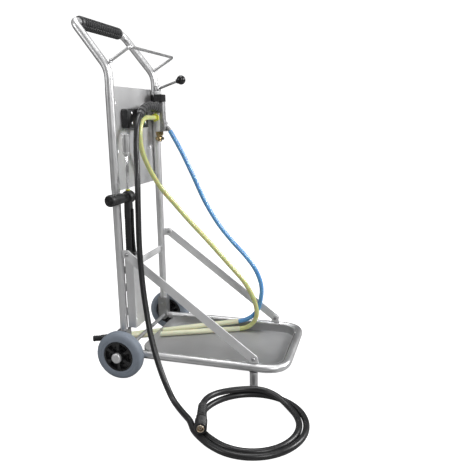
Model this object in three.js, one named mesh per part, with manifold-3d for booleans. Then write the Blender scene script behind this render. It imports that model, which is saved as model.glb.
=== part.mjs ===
// Wheeled sprayer cart: a bent tube frame on two wheels and two legs, with a low tray, a foam
// injector, a stored spray lance and three hoses. Millimetres, +Z up. The wheels are at the rear
// (+Y), the tray points forward (-Y) and the stored lance is on the left (-X).
import * as THREE from 'three';
import { mergeVertices } from 'three/addons/utils/BufferGeometryUtils.js';
import Module from 'manifold-3d';

const wasm = await Module();
wasm.setup();

// ---- Driving dimensions ----
const GAP = 0.3;

const tubeR = 13;
const uprightX = 167;
const uprightY = 5;
const uprightBottomZ = 94;
const uprightTopZ = 925;
const bowBendZ = 987;
const bowBendR = 80;
const barX = 159;
const barY = 118;
const barZ = 1131;
const barCornerR = 30;
const gripHalf = 127;
const gripR = 20;

const hangerRodR = 4.5;
const hangerY = -70;
const hangerZ = 1047;
const hangerRootY = 1.6;
const hangerRootZ = 1006.1;

const panelHalf = 168;
const panelY = uprightY + tubeR + GAP;
const panelThick = 2;
const panelLowZ = 611;
const panelHighZ = 940;
const panelHoleR = 6;
const panelCornerR = 12;

const trayX = 177;
const trayZ = 73;
const trayFrontY = -540;
const trayCornerR = 70;
const panFloorZ = 48;
const panTopZ = 80;
const panSheet = 2;
const panRearY = -42;

const legY = -443;
const legR = 12.5;

const braceThick = 5;
const braceWidth = 28;
const lugInnerX = 169;
const braceInnerX = lugInnerX + braceThick + GAP;
const braceTop = { y: -25, z: 413 };
const braceFoot = { y: -442, z: 101 };
const boltR = 4;

const wheelR = 80;
const wheelX = 212;
const tyreWidth = 40;
const rimR = 51;
const axleR = 6.5;
const hubEndX = 250;

const injectorX = 146;
const injectorY = -16;
const injectorR = 12;
const knobR = 16;
const knobY = -106;
const knobZ = 969;

const lanceFoot = new THREE.Vector3(-148.5, -23.5, 381);
const lanceLean = THREE.MathUtils.degToRad(1);
const handleTurn = THREE.MathUtils.degToRad(8); // the side handle's turn back from straight left
const headR = 20;
const headZ = 216;
const nozzleZ = 344;
const lanceLength = 412;

const pressureHoseR = 9;
const coilX = -375;
const coilY = -485;
const coilInnerR = 122;
const coilOuterR = 160;
const yellowHoseR = 8.5;
const blueHoseR = 8;
const pipeR = 9.5;
const strainerR = 11;

// The finished cart is moved so that the middle of its footprint lies on the origin.
const footprintShiftY = 184;

// ---- Materials ----
function paint(color, roughness, metalness) {
  return new THREE.MeshStandardMaterial({ color, roughness, metalness });
}
const steel = paint(0xb9bbbd, 0.38, 0.9);
const sheet = paint(0xa3a5a6, 0.5, 0.8);
const strap = paint(0xc4c3c6, 0.6, 0.5);
const plastic = paint(0x232325, 0.55, 0);
const rubber = paint(0x6d7884, 0.75, 0);
const hoseBlack = paint(0x2c2c2f, 0.6, 0);
const lime = paint(0xb9bf5a, 0.4, 0);
const sky = paint(0x5aa3dd, 0.4, 0);
const ivory = paint(0xd9d8bd, 0.5, 0);
const brass = paint(0xb08d4c, 0.35, 0.9);
const bright = paint(0xd6d8da, 0.2, 1);

// ---- Geometry helpers ----
const cart = new THREE.Group();

// Merges shared corners, drops collapsed triangles and turns the faces outward.
function closed(geometry) {
  const bare = geometry.clone();
  bare.deleteAttribute('normal');
  bare.deleteAttribute('uv');
  const merged = mergeVertices(bare, 1e-3);
  const p = merged.attributes.position;
  const source = merged.index.array;
  const kept = [];
  let volume = 0;
  const [a, b, c] = [new THREE.Vector3(), new THREE.Vector3(), new THREE.Vector3()];
  for (let i = 0; i < source.length; i += 3) {
    const [i0, i1, i2] = [source[i], source[i + 1], source[i + 2]];
    if (i0 === i1 || i1 === i2 || i2 === i0) continue;
    kept.push(i0, i1, i2);
    a.fromBufferAttribute(p, i0);
    b.fromBufferAttribute(p, i1);
    c.fromBufferAttribute(p, i2);
    volume += a.dot(b.cross(c));
  }
  if (volume < 0) {
    for (let i = 0; i < kept.length; i += 3) [kept[i + 1], kept[i + 2]] = [kept[i + 2], kept[i + 1]];
  }
  merged.setIndex(kept);
  merged.computeVertexNormals();
  return merged;
}

function toSolid(geometry) {
  const g = closed(geometry);
  return new wasm.Manifold(new wasm.Mesh({
    numProp: 3,
    vertProperties: new Float32Array(g.attributes.position.array),
    triVerts: new Uint32Array(g.index.array),
  }));
}

function toGeometry(solid) {
  const mesh = solid.getMesh();
  const g = new THREE.BufferGeometry();
  g.setAttribute('position', new THREE.BufferAttribute(new Float32Array(mesh.vertProperties), 3));
  g.setIndex(new THREE.BufferAttribute(new Uint32Array(mesh.triVerts), 1));
  return g;
}

function join(first, ...rest) {
  return toGeometry(rest.reduce((sum, g) => sum.add(toSolid(g)), toSolid(first)));
}

function cut(first, ...tools) {
  return toGeometry(tools.reduce((rest, g) => rest.subtract(toSolid(g)), toSolid(first)));
}

function place(name, geometry, material, group = cart) {
  const mesh = new THREE.Mesh(closed(geometry), material);
  mesh.name = name;
  group.add(mesh);
  return mesh;
}

function vec(x, y, z) {
  return new THREE.Vector3(x, y, z);
}

function polygon(radius, sides) {
  const points = [];
  for (let i = 0; i < sides; i++) {
    const t = (2 * Math.PI * i) / sides;
    points.push(new THREE.Vector2(radius * Math.cos(t), radius * Math.sin(t)));
  }
  return new THREE.Shape(points);
}

// A round bar of one radius along a curve, closed at both ends.
function tube(path, radius, sides, steps) {
  const settings = { steps, bevelEnabled: false, extrudePath: path };
  return new THREE.ExtrudeGeometry(polygon(radius, sides), settings);
}

function hoseTube(points, radius, sides, steps) {
  const route = new THREE.CatmullRomCurve3(points.map((p) => vec(...p)), false, 'centripetal');
  return tube(route, radius, sides, steps);
}

// Straight runs between the points, with the given bend radius at each inner point.
function bentPath(points, radii) {
  const path = new THREE.CurvePath();
  let start = points[0];
  for (let i = 1; i < points.length - 1; i++) {
    const into = points[i].clone().sub(points[i - 1]).normalize();
    const out = points[i + 1].clone().sub(points[i]).normalize();
    const setback = radii[i - 1] * Math.tan(into.angleTo(out) / 2);
    const a = points[i].clone().addScaledVector(into, -setback);
    const b = points[i].clone().addScaledVector(out, setback);
    path.add(new THREE.LineCurve3(start, a));
    path.add(new THREE.QuadraticBezierCurve3(a, points[i], b));
    start = b;
  }
  path.add(new THREE.LineCurve3(start, points[points.length - 1]));
  return path;
}

// A solid turned about the line from one point towards another. Each profile entry is
// [distance along the line, radius], and the profile starts and ends on the axis.
function turned(from, towards, profile, segments) {
  const direction = towards.clone().sub(from).normalize();
  const outline = profile.map(([along, radius]) => new THREE.Vector2(radius, along));
  const g = new THREE.LatheGeometry(outline, segments);
  g.applyQuaternion(new THREE.Quaternion().setFromUnitVectors(vec(0, 1, 0), direction));
  return g.translate(from.x, from.y, from.z);
}

function rod(from, to, radius, segments = 16) {
  const length = from.distanceTo(to);
  return turned(from, to, [[0, 0], [0, radius], [length, radius], [length, 0]], segments);
}

function block(x0, x1, y0, y1, z0, z1) {
  const g = new THREE.BoxGeometry(x1 - x0, y1 - y0, z1 - z0);
  return g.translate((x0 + x1) / 2, (y0 + y1) / 2, (z0 + z1) / 2);
}

// A flat outline given in (y, z), made thick from x0 to x1.
function plateYZ(shape, x0, x1, curveSegments = 8) {
  const g = new THREE.ExtrudeGeometry(shape, { depth: x1 - x0, bevelEnabled: false, curveSegments });
  g.rotateX(Math.PI / 2);
  g.rotateZ(Math.PI / 2);
  return g.translate(x0, 0, 0);
}

// A flat outline given in (x, y), made thick from z0 to z1.
function plateXY(shape, z0, z1, curveSegments = 8) {
  const g = new THREE.ExtrudeGeometry(shape, { depth: z1 - z0, bevelEnabled: false, curveSegments });
  return g.translate(0, 0, z0);
}

function roundedRect(x0, x1, y0, y1, r) {
  const s = new THREE.Shape();
  s.moveTo(x0 + r, y0);
  s.lineTo(x1 - r, y0);
  s.absarc(x1 - r, y0 + r, r, -Math.PI / 2, 0);
  s.lineTo(x1, y1 - r);
  s.absarc(x1 - r, y1 - r, r, 0, Math.PI / 2);
  s.lineTo(x0 + r, y1);
  s.absarc(x0 + r, y1 - r, r, Math.PI / 2, Math.PI);
  s.lineTo(x0, y0 + r);
  s.absarc(x0 + r, y0 + r, r, Math.PI, 1.5 * Math.PI);
  return s;
}

// The x range of a plate on one side of the cart: side is -1 for left and 1 for right.
function sideRange(side, inner, outer) {
  return side < 0 ? [-outer, -inner] : [inner, outer];
}

const SIDES = [['left', -1], ['right', 1]];

// ---- Tube frame ----
function addFrame() {
  for (const [label, side] of SIDES) {
    const x = side * uprightX;
    const foot = vec(x, uprightY, uprightBottomZ);
    place(`${label}_upright`, rod(foot, vec(x, uprightY, uprightTopZ), tubeR, 20), steel);
  }
  const bow = [
    vec(-uprightX, uprightY, uprightTopZ + GAP),
    vec(-uprightX, uprightY, bowBendZ),
    vec(-barX, barY, barZ),
    vec(barX, barY, barZ),
    vec(uprightX, uprightY, bowBendZ),
    vec(uprightX, uprightY, uprightTopZ + GAP),
  ];
  const bowPath = bentPath(bow, [bowBendR, barCornerR, barCornerR, bowBendR]);
  place('handle_bow', tube(bowPath, tubeR, 12, 52), steel);

  const bore = tubeR + GAP;
  const grip = [[-gripHalf, bore], [-gripHalf, gripR - 4], [4 - gripHalf, gripR], [gripHalf - 4, gripR],
    [gripHalf, gripR - 4], [gripHalf, bore], [-gripHalf, bore]];
  place('handle_grip', turned(vec(0, barY, barZ), vec(1, barY, barZ), grip, 28), plastic);

  const hanger = [
    vec(-uprightX, hangerRootY, hangerRootZ),
    vec(-uprightX, hangerY, hangerZ),
    vec(uprightX, hangerY, hangerZ),
    vec(uprightX, hangerRootY, hangerRootZ),
  ];
  place('hose_hanger', tube(bentPath(hanger, [14, 14]), hangerRodR, 6, 48), steel);

  const inner = uprightX - tubeR - 0.4;
  place('crossbar', block(-inner, inner, 2, 7, 337, 361), steel);
}

// ---- Back panel and its bracket ----
function addPanel() {
  const hole = (x, z) => rod(vec(x, panelY - 5, z), vec(x, panelY + 10, z), panelHoleR, 16);
  const sheetOutline = roundedRect(-panelHalf, panelHalf, panelLowZ, panelHighZ, panelCornerR);
  const settings = { depth: panelThick, bevelEnabled: false, curveSegments: 5 };
  const plate = new THREE.ExtrudeGeometry(sheetOutline, settings);
  plate.rotateX(Math.PI / 2);
  plate.translate(0, panelY + panelThick, 0);
  place('back_panel', cut(plate, hole(-107, 889), hole(-107, 737), hole(140, 889), hole(140, 737)), sheet);

  const outline = roundedRect(-77, 77, 808, 871, 8);
  const cover = new THREE.ExtrudeGeometry(outline, { depth: 23, bevelEnabled: false, curveSegments: 5 });
  cover.rotateX(Math.PI / 2);
  cover.translate(0, panelY - GAP, 0);
  place('hose_bracket', cover, plastic);
}

// ---- Lance pocket, with the rest plate that the lance stands on ----
function addPocket() {
  const [x0, x1, y0, y1, z0, z1] = [-168, -95, -42, -10, 160, 404];
  const wall = 2;
  const shell = cut(
    plateXY(roundedRect(x0, x1, y0, y1, 8), z0, z1, 4),
    plateXY(roundedRect(x0 + wall, x1 - wall, y0 + wall, y1 - wall, 6), z0 - 1, z1 + 1, 4),
  );
  const rest = plateXY(roundedRect(x0 + 1, x1 - 1, y0 + 1, y1 - 1, 7), 375.5, 379.5, 4);
  const tab = (z) => block(-166, -158, y1 - 1, -8 - GAP, z, z + 8);
  place('lance_pocket', join(shell, rest, tab(200), tab(284)), steel);
}

// ---- Braces, their lugs and bolts ----
function addBraces() {
  const dy = braceTop.y - braceFoot.y;
  const dz = braceTop.z - braceFoot.z;
  const length = Math.hypot(dy, dz);
  const r = braceWidth / 2;
  const angle = Math.atan2(dz, dy);
  const at = (u, v) => [
    braceFoot.y + u * Math.cos(angle) - v * Math.sin(angle),
    braceFoot.z + u * Math.sin(angle) + v * Math.cos(angle),
  ];
  const bar = new THREE.Shape();
  bar.moveTo(...at(0, -r));
  bar.lineTo(...at(length, -r));
  bar.absarc(braceTop.y, braceTop.z, r, angle - Math.PI / 2, angle + Math.PI / 2);
  bar.lineTo(...at(0, r));
  bar.absarc(braceFoot.y, braceFoot.z, r, angle + Math.PI / 2, angle + 1.5 * Math.PI);

  const upperLug = new THREE.Shape();
  upperLug.moveTo(-8.4, braceTop.z - 13);
  upperLug.lineTo(-8.4, braceTop.z + 13);
  upperLug.lineTo(braceTop.y, braceTop.z + 13);
  upperLug.absarc(braceTop.y, braceTop.z, 13, Math.PI / 2, 1.5 * Math.PI);

  const lugFloorZ = trayZ + tubeR + 0.4;
  const lowerLug = new THREE.Shape();
  lowerLug.moveTo(braceFoot.y - 15, lugFloorZ);
  lowerLug.lineTo(braceFoot.y + 15, lugFloorZ);
  lowerLug.lineTo(braceFoot.y + 12, braceFoot.z);
  lowerLug.absarc(braceFoot.y, braceFoot.z, 12, 0, Math.PI);

  for (const [label, side] of SIDES) {
    const holeFor = (p) => rod(vec(side * 150, p.y, p.z), vec(side * 200, p.y, p.z), boltR + GAP, 12);
    const holes = [holeFor(braceTop), holeFor(braceFoot)];
    const braceX = sideRange(side, braceInnerX, braceInnerX + braceThick);
    const lugX = sideRange(side, lugInnerX, lugInnerX + braceThick);
    place(`${label}_brace`, cut(plateYZ(bar, ...braceX), ...holes), strap);
    place(`${label}_upper_lug`, cut(plateYZ(upperLug, ...lugX), holes[0]), strap);
    place(`${label}_lower_lug`, cut(plateYZ(lowerLug, ...lugX), holes[1]), strap);
    for (const [height, p] of [['upper', braceTop], ['lower', braceFoot]]) {
      const nutFrom = lugInnerX - GAP - 5;
      const nutTo = lugInnerX - GAP;
      const headFrom = braceInnerX + braceThick + GAP;
      const headTo = headFrom + 5;
      const bolt = [[nutFrom, 0], [nutFrom, 6.5], [nutTo, 6.5], [nutTo, boltR], [headFrom, boltR],
        [headFrom, 6.5], [headTo, 6.5], [headTo, 0]];
      place(`${label}_${height}_bolt`, turned(vec(0, p.y, p.z), vec(side, p.y, p.z), bolt, 12), bright);
    }
  }
}

// ---- Tray ----
function panOutline(halfWidth, frontY, rearY, r) {
  const s = new THREE.Shape();
  s.moveTo(-halfWidth, rearY);
  s.lineTo(-halfWidth, frontY + r);
  s.absarc(-halfWidth + r, frontY + r, r, Math.PI, 1.5 * Math.PI);
  s.lineTo(halfWidth - r, frontY);
  s.absarc(halfWidth - r, frontY + r, r, 1.5 * Math.PI, 2 * Math.PI);
  s.lineTo(halfWidth, rearY);
  return s;
}

function addTray() {
  const bracketFrontY = uprightY - 17;
  const rear = bracketFrontY - 0.4;
  const rail = [vec(-trayX, rear, trayZ), vec(-trayX, trayFrontY, trayZ), vec(trayX, trayFrontY, trayZ),
    vec(trayX, rear, trayZ)];
  place('tray_frame', tube(bentPath(rail, [trayCornerR, trayCornerR]), tubeR, 12, 46), steel);

  // The frame's corners are cut flat by its steps, so the pan keeps a wider gap there.
  const edge = tubeR + 0.6;
  const outer = panOutline(trayX - edge, trayFrontY + edge, panRearY, trayCornerR - edge + 4);
  const inner = panOutline(trayX - edge - panSheet, trayFrontY + edge + panSheet, panRearY + 10,
    trayCornerR - edge + 4 - panSheet);
  const hollow = plateXY(inner, panFloorZ + panSheet, panTopZ + 5);
  place('tray_pan', cut(plateXY(outer, panFloorZ, panTopZ), hollow), sheet);

  for (const [label, side] of SIDES) {
    const x = side * trayX;
    place(`${label}_leg`, rod(vec(x, legY, 0), vec(x, legY, trayZ - tubeR - GAP), legR, 20), steel);
  }
}

// ---- Axle, wheel brackets and wheels ----
function addWheels() {
  place('axle', rod(vec(-230, 0, wheelR), vec(230, 0, wheelR), axleR, 16), steel);
  for (const [label, side] of SIDES) {
    const centreX = side * uprightX;
    const outline = new THREE.Shape();
    outline.moveTo(uprightY - 17, 152);
    outline.lineTo(uprightY - 17, 74);
    outline.absarc(uprightY - 5, 74, 12, Math.PI, 1.5 * Math.PI);
    outline.lineTo(uprightY + 5, 62);
    outline.absarc(uprightY + 5, 74, 12, 1.5 * Math.PI, 2 * Math.PI);
    outline.lineTo(uprightY + 17, 152);
    const socketFoot = vec(centreX, uprightY, uprightBottomZ - GAP);
    const socket = rod(socketFoot, vec(centreX, uprightY, 160), tubeR + 0.5, 20);
    const cross = rod(vec(side * 140, 0, wheelR), vec(side * 190, 0, wheelR), axleR + GAP, 16);
    const body = cut(plateYZ(outline, ...sideRange(side, uprightX - 17, uprightX + 17)), socket, cross);
    const head = rod(vec(side * 145, 2.5, 124), vec(side * 150.5, 2.5, 124), 6.5, 12);
    place(`${label}_wheel_bracket`, join(body, head), strap);

    const wheel = new THREE.Group();
    wheel.position.set(side * wheelX, 0, wheelR);
    cart.add(wheel);
    const half = tyreWidth / 2;
    const bead = rimR + 0.5;
    const centre = vec(0, 0, 0);
    const outward = vec(side, 0, 0);
    const tread = [[-half, bead], [-half, 70], [-half + 3, 76], [-half + 8, 79], [-half + 14, wheelR],
      [half - 14, wheelR], [half - 8, 79], [half - 3, 76], [half, 70], [half, bead], [-half, bead]];
    place(`${label}_tyre`, turned(centre, outward, tread, 32), rubber, wheel);
    const hubBore = axleR + GAP;
    const disc = [[-half, hubBore], [-half, 16], [-4, 20], [-4, 44], [2 - half, 46], [2 - half, rimR],
      [half - 2, rimR], [half - 2, 46], [6, 43], [6, 22], [half + 4, 19], [half + 4, hubBore], [-half, hubBore]];
    const pockets = [];
    for (let i = 0; i < 6; i++) {
      const t = (i * Math.PI) / 3;
      const from = vec(side * 1.5, 33 * Math.cos(t), 33 * Math.sin(t));
      pockets.push(rod(from, from.clone().add(vec(side * 20, 0, 0)), 7.5, 8));
    }
    place(`${label}_rim`, cut(turned(centre, outward, disc, 24), ...pockets), plastic, wheel);
    const capTo = hubEndX - wheelX;
    const capFrom = half + 4 + GAP;
    const cap = [[capFrom, 0], [capFrom, 17], [capTo - 4, 17], [capTo, 13], [capTo, 0]];
    place(`${label}_hub_cap`, turned(centre, outward, cap, 28), bright, wheel);
  }
}

// ---- Injector, its clamp, ports and quarter-turn valve ----
function addInjector() {
  const clampShape = new THREE.Shape([[121, -39], [160, -39], [186, -14], [186, 14], [150, 14], [121, -12]]
    .map(([x, y]) => new THREE.Vector2(x, y)));
  const clampBody = plateXY(clampShape, 896, 921);
  const tubeHole = rod(vec(uprightX, uprightY, 890), vec(uprightX, uprightY, 930), tubeR + 0.4, 20);
  const bodyHole = rod(vec(injectorX, injectorY, 890), vec(injectorX, injectorY, 930), injectorR + 0.4, 20);
  place('injector_clamp', cut(clampBody, tubeHole, bodyHole), plastic);

  const barrel = rod(vec(injectorX, injectorY, 792), vec(injectorX, injectorY, 931.7), injectorR, 20);
  const chamber = block(injectorX - 12, injectorX + 12, -40, injectorY - 8, 792, 895.5);
  const step = block(injectorX - 12.5, injectorX + 12.5, -44, injectorY - 8, 792, 826);
  const outletBoss = rod(vec(injectorX, -20, 873), vec(injectorX - 12.5, -20, 873), 10, 16);
  place('injector_body', join(barrel, chamber, step, outletBoss), bright);

  const inlet = [[0, 0], [0, 14], [13, 14], [15, 10], [19, 10], [21, 16], [31, 16], [31, 8], [22, 8], [22, 0]];
  const inletTop = vec(injectorX, injectorY, 792 - GAP);
  place('water_inlet', turned(inletTop, inletTop.clone().add(vec(0, 0, -1)), inlet, 18), brass);

  const limeFrom = vec(injectorX - 12.5, -14, 841);
  const limePort = [[0, 0], [0, 8], [9, 8], [9, 14], [21, 14], [21, 9], [30, 9], [30, 0]];
  place('lime_inlet', turned(limeFrom, limeFrom.clone().add(vec(-1, 0, 0)), limePort, 18), lime);

  const skyFrom = vec(injectorX, -51, 803);
  const skyTowards = skyFrom.clone().add(vec(0.2, -5.4, -8.4));
  place('sky_inlet', turned(skyFrom, skyTowards, [[0, 0], [0, 7], [10, 7], [10, 0]], 14), sky);

  const hub = rod(vec(injectorX, injectorY, 932), vec(injectorX, injectorY, 952), 10.5, 20);
  const knob = vec(injectorX, knobY, knobZ);
  const root = vec(injectorX, injectorY, 940.5);
  const rodEnd = knob.clone().add(root.clone().sub(knob).setLength(knobR + GAP));
  place('valve_lever', join(hub, rod(root, rodEnd, 4.5, 12)), bright);
  place('lever_knob', new THREE.SphereGeometry(knobR, 14, 10).translate(knob.x, knob.y, knob.z), plastic);
}

// ---- Suction pipes, each with a strainer on its rear end ----
function addSuctionPipes() {
  const pipes = [
    ['lime', vec(137, -312, 59.7), vec(-62, 139, 59.7), 45],
    ['sky', vec(149, -304, 84), vec(-29.4, 128, 52.7), 45],
  ];
  for (const [label, front, rear, strainerLength] of pipes) {
    place(`${label}_suction_pipe`, rod(front, rear, pipeR, 16), ivory);
    const along = rear.clone().sub(front).normalize();
    const from = rear.clone().addScaledVector(along, GAP);
    const to = from.clone().addScaledVector(along, strainerLength);
    place(`${label}_strainer`, rod(from, to, strainerR, 16), plastic);
  }
}

// ---- Hoses ----
const kinkSleeve = [
  [133, -20, 873], [124, -20, 873], [98, -20.5, 877], [62, -22, 880], [22, -25, 876], [-10, -28, 867.5],
  [-32, -30, 855.5], [-44, -31.4, 847],
];
const pressureDrop = [
  [-45, -31.5, 846.3], [-56.5, -32.9, 838], [-80, -37, 814], [-96, -41, 783], [-112, -46, 742], [-131, -55, 708],
  [-148, -63, 672], [-160, -68, 630], [-170, -71, 580], [-179, -74, 530], [-188, -77, 480], [-198, -82, 425],
  [-209, -89.5, 366], [-222, -100, 306], [-237, -114, 248], [-254, -130, 194], [-273, -152, 138],
  [-292, -177, 88], [-312, -205, 46], [-333, -232, 19.5], [-357, -260, 9.9], [-384, -287, 9.6], [-411, -314, 9.6],
];
const pressureTail = [
  [-233, -433, 27.3], [-240, -416.5, 27.5], [-248.5, -400, 28], [-258.5, -385, 28.8], [-270.5, -371, 30],
  [-284, -358.5, 31.5], [-299.5, -348.5, 33], [-316, -341, 34.5], [-334, -337, 35.5], [-352.5, -336, 36],
  [-370.4, -339.2, 36],
];
const limeHose = [
  [103.2, -14, 841], [80, -14, 841], [41, -14.5, 841], [8, -16, 832.2], [-10, -17.5, 817.5], [-21, -18.8, 797.5],
  [-25, -20, 775], [-23, -20.6, 751], [-15, -21, 729], [1, -22, 703], [31, -26, 661], [58, -49, 601], [82, -90, 539],
  [98, -143, 471], [108, -199, 408], [117, -278, 318], [121, -334, 254], [127, -360, 208], [133, -373, 172],
  [139.5, -378, 140], [143.5, -376.5, 115], [145.2, -368, 93], [145.2, -351, 73.3], [143, -333.6, 63.6],
  [139.6, -319, 60.1], [137.2, -312.7, 59.7],
];
const skyHose = [
  [146.4, -56.9, 793.8], [147, -70, 771], [148, -99, 718], [149, -140, 632], [150, -182, 540],
  [151, -233, 456], [152, -282, 396], [152, -336, 339], [152, -372, 290], [152, -391, 242], [154, -394, 208],
  [156, -390.5, 180], [157.5, -386, 158], [158.7, -375.5, 130], [158.8, -355.5, 105.3], [156.4, -328.5, 89.3],
  [152, -311.4, 84.55], [149.3, -304.8, 84.05],
];

// A quick coupling on the black hose's free end, lying on the coil.
const couplingFrom = vec(-371.3, -339.5, 36);
const couplingTo = vec(-480.9, -370.9, 36);

function addHoses() {
  place('kink_sleeve', hoseTube(kinkSleeve, 14, 10, 12), plastic);
  place('pressure_hose', hoseTube(pressureDrop, pressureHoseR, 8, 30), hoseBlack);
  place('pressure_hose_tail', hoseTube(pressureTail, pressureHoseR, 8, 6), hoseBlack);
  place('lime_hose', hoseTube(limeHose, yellowHoseR, 8, 30), lime);
  place('sky_hose', hoseTube(skyHose, blueHoseR, 8, 24), sky);

  const side = 5;
  const high = 2 * pressureHoseR;
  const ring = [[0, coilInnerR + side], [0, coilOuterR - side], [side, coilOuterR], [high - side, coilOuterR],
    [high, coilOuterR - side], [high, coilInnerR + side], [high - side, coilInnerR], [side, coilInnerR],
    [0, coilInnerR + side]];
  place('pressure_hose_coil', turned(vec(coilX, coilY, 0), vec(coilX, coilY, 1), ring, 36), hoseBlack);

  const relief = [[0, 0], [0, 13], [54, 13], [54, 0]];
  place('coupling_sleeve', turned(couplingFrom, couplingTo, relief, 16), plastic);
  const core = [[54.3, 0], [54.3, 14], [64, 14], [64, 11], [114, 11], [114, 6], [96, 6], [96, 0]];
  place('coupling_core', turned(couplingFrom, couplingTo, core, 18), brass);
  const collar = [[71, 11.4], [71, 17.5], [112, 17.5], [112, 11.4], [71, 11.4]];
  place('coupling_collar', turned(couplingFrom, couplingTo, collar, 22), plastic);
}

// ---- Spray lance, standing in its pocket ----
function addLance() {
  const lance = new THREE.Group();
  lance.position.copy(lanceFoot);
  lance.rotation.x = lanceLean;
  cart.add(lance);
  const up = (z) => vec(0, 0, z);

  const inlet = [[0, 0], [0, 6], [5, 6], [5, 9], [12, 9], [12, 0]];
  place('lance_nipple', turned(up(0), up(1), inlet, 16), bright, lance);

  const barrel = plateXY(roundedRect(-14.5, 14.5, -11, 11, 7), 12.3, 201, 4);
  const handleWay = vec(-Math.cos(handleTurn), Math.sin(handleTurn), 0);
  const headAt = (along) => up(headZ).addScaledVector(handleWay, along);
  const head = rod(headAt(-14), headAt(11), headR, 24);
  const slot = block(-6, 6, -20, 1, 30, 184);
  place('gun_body', cut(join(barrel, head), slot), plastic, lance);
  place('trigger', plateXY(roundedRect(-5, 5, -17, -9, 3), 34, 179, 4), plastic, lance);

  const grip = [
    [11.3, 0], [11.3, 14], [34, 15], [60, 15.5], [72, 17], [88, 18.5], [96, 18], [100, 14], [100, 0],
  ];
  place('side_handle', turned(headAt(0), headAt(1), grip, 20), plastic, lance);

  place('lance_pipe', rod(up(headZ + headR + GAP), up(nozzleZ - GAP), 5, 14), bright, lance);
  const low = headZ + headR + 0.7;
  const high = low + 3;
  const ring = [[low, 5.4], [low, 7.5], [high, 7.5], [high, 5.4], [low, 5.4]];
  place('lance_ring', turned(up(0), up(1), ring, 16), lime, lance);
  const nozzle = [[nozzleZ, 0], [nozzleZ, 8.5], [nozzleZ + 6, 8.5], [nozzleZ + 7, 11.5], [lanceLength, 11.5],
    [lanceLength, 8], [lanceLength - 8, 6], [lanceLength - 8, 0]];
  place('foam_nozzle', turned(up(0), up(1), nozzle, 20), steel, lance);
}

addFrame();
addPanel();
addPocket();
addBraces();
addTray();
addWheels();
addInjector();
addSuctionPipes();
addHoses();
addLance();
cart.position.y = footprintShiftY;

export default cart;
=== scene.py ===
"""Looks for the wheeled sprayer cart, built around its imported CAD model.

Lengths in the tables below are millimetres, measured from the middle of the wheel axle on the
floor line; at() turns them into the model's own frame, in metres.
"""

import math
import random

import bmesh
import bpy
from mathutils import Matrix, Vector


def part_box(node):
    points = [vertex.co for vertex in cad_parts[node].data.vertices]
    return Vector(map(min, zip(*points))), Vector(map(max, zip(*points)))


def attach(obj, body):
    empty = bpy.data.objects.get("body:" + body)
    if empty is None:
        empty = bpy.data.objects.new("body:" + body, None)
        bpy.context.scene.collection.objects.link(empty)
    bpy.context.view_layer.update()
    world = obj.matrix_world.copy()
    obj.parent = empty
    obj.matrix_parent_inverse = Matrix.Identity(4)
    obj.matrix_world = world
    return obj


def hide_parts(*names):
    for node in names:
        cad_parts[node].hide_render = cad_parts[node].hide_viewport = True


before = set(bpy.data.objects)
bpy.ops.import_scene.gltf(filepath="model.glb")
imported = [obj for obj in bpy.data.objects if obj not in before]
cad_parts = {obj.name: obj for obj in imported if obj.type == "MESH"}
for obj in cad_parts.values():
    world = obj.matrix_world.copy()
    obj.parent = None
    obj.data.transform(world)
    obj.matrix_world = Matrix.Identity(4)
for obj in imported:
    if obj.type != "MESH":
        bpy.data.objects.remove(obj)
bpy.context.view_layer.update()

AXLE_Y = 184.0  # the axle's place along Y in the model's frame
MM = 0.001


def at(p):
    """A point of the tables, in the model's frame."""
    return Vector((p[0], p[1] + AXLE_Y, p[2])) * MM


# ---------------------------------------------------------------- camera


def add_camera():
    azimuth, pitch, roll = (math.radians(a) for a in (-74.039, 12.668, -0.749))
    forward = Vector((
        -math.sin(azimuth) * math.cos(pitch),
        math.cos(azimuth) * math.cos(pitch),
        -math.sin(pitch),
    ))
    level = Vector((math.cos(azimuth), math.sin(azimuth), 0))
    upright = level.cross(forward)
    right = level * math.cos(roll) + upright * math.sin(roll)
    up = upright * math.cos(roll) - level * math.sin(roll)
    data = bpy.data.cameras.new("camera")
    data.sensor_width = 36
    data.lens = 40.57
    data.clip_start = 0.05
    camera = bpy.data.objects.new("camera", data)
    bpy.context.scene.collection.objects.link(camera)
    turn = Matrix((right, up, -forward)).transposed().to_4x4()
    turn.translation = Vector((-1.6477, -0.6161, 0.8476))
    camera.matrix_world = turn
    bpy.context.scene.camera = camera


add_camera()

# ---------------------------------------------------------------- materials

SURFACES = {}


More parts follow.
